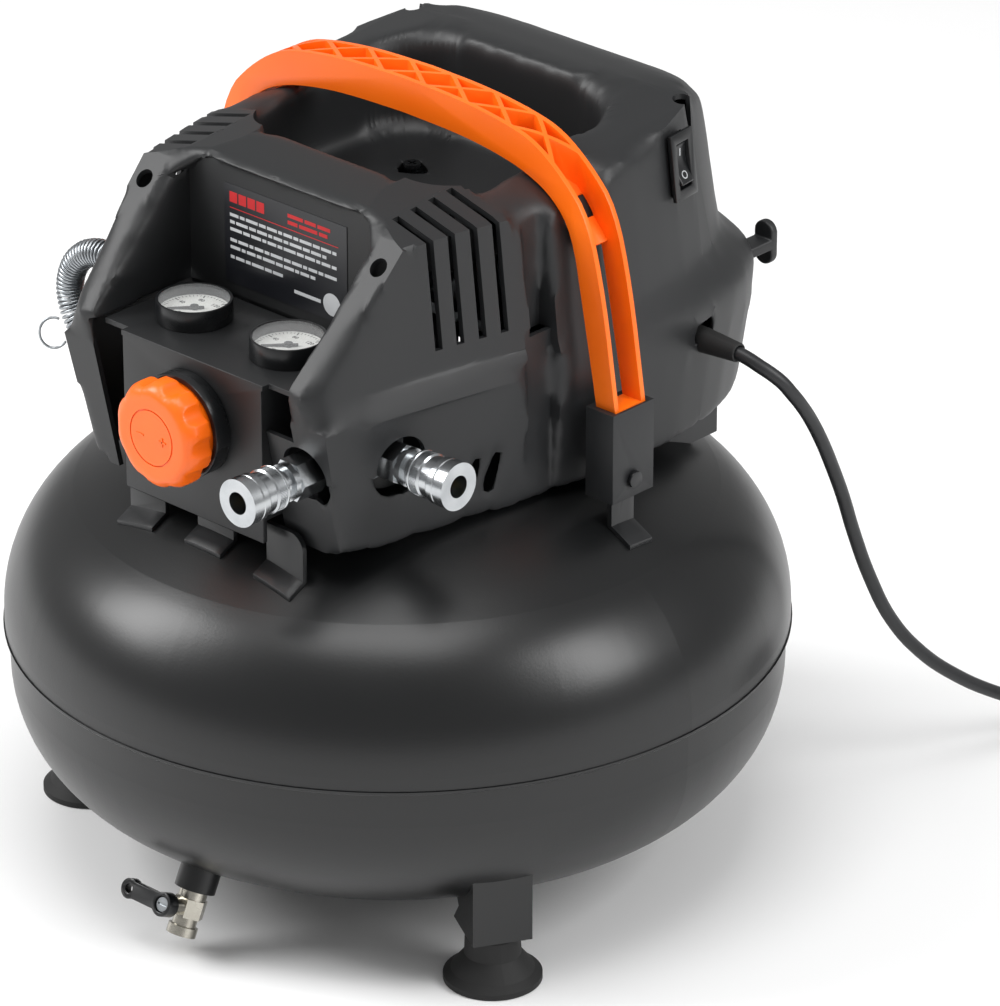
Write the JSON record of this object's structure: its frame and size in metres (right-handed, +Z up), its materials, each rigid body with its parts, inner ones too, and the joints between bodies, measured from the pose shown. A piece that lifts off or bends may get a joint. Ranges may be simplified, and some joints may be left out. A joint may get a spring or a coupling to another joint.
{
  "type": "portable air compressor",
  "caption": "Portable electric air compressor on a round black pancake tank, with a moulded cover, orange carrying handle, gauges, regulator knob and quick couplers.",
  "frame": {"origin": "on the floor at the tank's axis", "axes": "+Z up along the tank axis, front with the gauges and knob to -Y, +X to the right seen from the front"},
  "size_m": [0.5181, 0.6422, 0.433],
  "materials": {
    "tank_paint": "satin powder coat",
    "cover_plastic": "fine moulded texture",
    "black_rubber": "matte",
    "orange_plastic": "satin moulded",
    "zinc_steel": "zinc plated",
    "chrome_plate": "bright",
    "brass": "turned",
    "nickel": "nickel plated, worn",
    "gloss_black": "gloss",
    "dial_face": "printed white",
    "clear_lens": "clear",
    "label_film": "printed film",
    "cast_aluminium": "cast",
    "copper": "drawn tube",
    "lamination_steel": "stacked sheet",
    "cord_sheath": "satin"
  },
  "bodies": {
    "base": {"tank_upper_shell": "tank_paint", "tank_lower_shell": "tank_paint", "seam_weld": "tank_paint", "tank_ports": "tank_paint", "tank_legs": "tank_paint", "rubber_feet": "black_rubber", "foot_bolts": "zinc_steel", "drain_boss": "tank_paint", "drain_valve_body": "nickel", "cover_brackets": "tank_paint", "pump_cradle": "tank_paint", "cradle_mounts": "black_rubber", "cradle_bolts": "zinc_steel", "lower_cover": "cover_plastic", "upper_cover": "cover_plastic", "control_panel": "cover_plastic", "cover_screws": "zinc_steel", "data_label": "label_film", "carry_handle": "orange_plastic", "handle_clips": "cover_plastic", "handle_bolts": "zinc_steel", "switch_body": "gloss_black", "gauge_cases": "gloss_black", "gauge_dials": "dial_face", "gauge_lenses": "clear_lens", "regulator_body": "brass", "regulator_collar": "gloss_black", "air_manifold": "cast_aluminium", "coupler_bodies": "chrome_plate", "coupler_nose_rings": "chrome_plate", "coupler_valves": "brass", "motor_stator": "lamination_steel", "motor_end_plate": "cast_aluminium", "pump_crankcase": "cast_aluminium", "pump_cylinder": "cast_aluminium", "pump_head": "cast_aluminium", "pressure_switch": "gloss_black", "safety_valve": "brass", "check_valve": "brass", "delivery_pipe": "copper", "strap_spring": "zinc_steel", "cord_hooks": "black_rubber", "cord_grommet": "black_rubber", "mains_cord": "cord_sheath", "cord_coil": "cord_sheath", "mains_plug": "gloss_black"},
    "drain_handle": {"drain_lever": "gloss_black", "drain_lever_screw": "zinc_steel"},
    "rocker": {"switch_rocker": "gloss_black"},
    "needle_left": {"gauge_needle_left": "gloss_black"},
    "needle_right": {"gauge_needle_right": "gloss_black"},
    "knob": {"regulator_knob": "orange_plastic"},
    "sleeve_front": {"coupler_sleeve_front": "chrome_plate"},
    "sleeve_side": {"coupler_sleeve_side": "chrome_plate"},
    "rotor": {"motor_rotor": "lamination_steel", "rod_bearing": "zinc_steel", "cooling_fan": "gloss_black"},
    "piston": {"pump_piston": "cast_aluminium"},
    "relief_ring": {"safety_valve_ring": "zinc_steel"}
  },
  "joints": [
    {"name": "drain_lever_turn", "type": "hinge", "parent": "base", "child": "drain_handle", "pos_m": [0.015, -0.19187, 0.03259], "axis": [0, -0.8988, 0.4384], "range_deg": [0, 90]},
    {"name": "rocker_tilt", "type": "hinge", "parent": "base", "child": "rocker", "pos_m": [0.10645, 0.09759, 0.38763], "axis": [-0.1392, 0.9903, 0], "range_deg": [0, 16]},
    {"name": "needle_left_turn", "type": "hinge", "parent": "base", "child": "needle_left", "pos_m": [-0.034, -0.113, 0.33], "axis": [0, 0, -1], "range_deg": [0, 270]},
    {"name": "needle_right_turn", "type": "hinge", "parent": "base", "child": "needle_right", "pos_m": [0.034, -0.113, 0.33], "axis": [0, 0, -1], "range_deg": [0, 270]},
    {"name": "knob_turn", "type": "hinge", "parent": "base", "child": "knob", "pos_m": [0, -0.165, 0.291], "axis": [0, -1, 0], "range_deg": [-540, 540]},
    {"name": "sleeve_front_pull", "type": "slide", "parent": "base", "child": "sleeve_front", "axis": [0, 1, 0], "range_m": [0, 0.0045], "stiffness_N_per_m": 600},
    {"name": "sleeve_side_pull", "type": "slide", "parent": "base", "child": "sleeve_side", "axis": [-1, 0, 0], "range_m": [0, 0.0045], "stiffness_N_per_m": 600},
    {"name": "rotor_spin", "type": "hinge", "parent": "base", "child": "rotor", "pos_m": [0, 0.118, 0.303], "axis": [1, 0, 0], "continuous": true},
    {"name": "piston_stroke", "type": "slide", "parent": "base", "child": "piston", "axis": [0, -1, 0], "range_m": [0, 0.018]},
    {"name": "relief_ring_pull", "type": "slide", "parent": "base", "child": "relief_ring", "axis": [0, 1, 0], "range_m": [0, 0.003], "stiffness_N_per_m": 400}
  ]
}
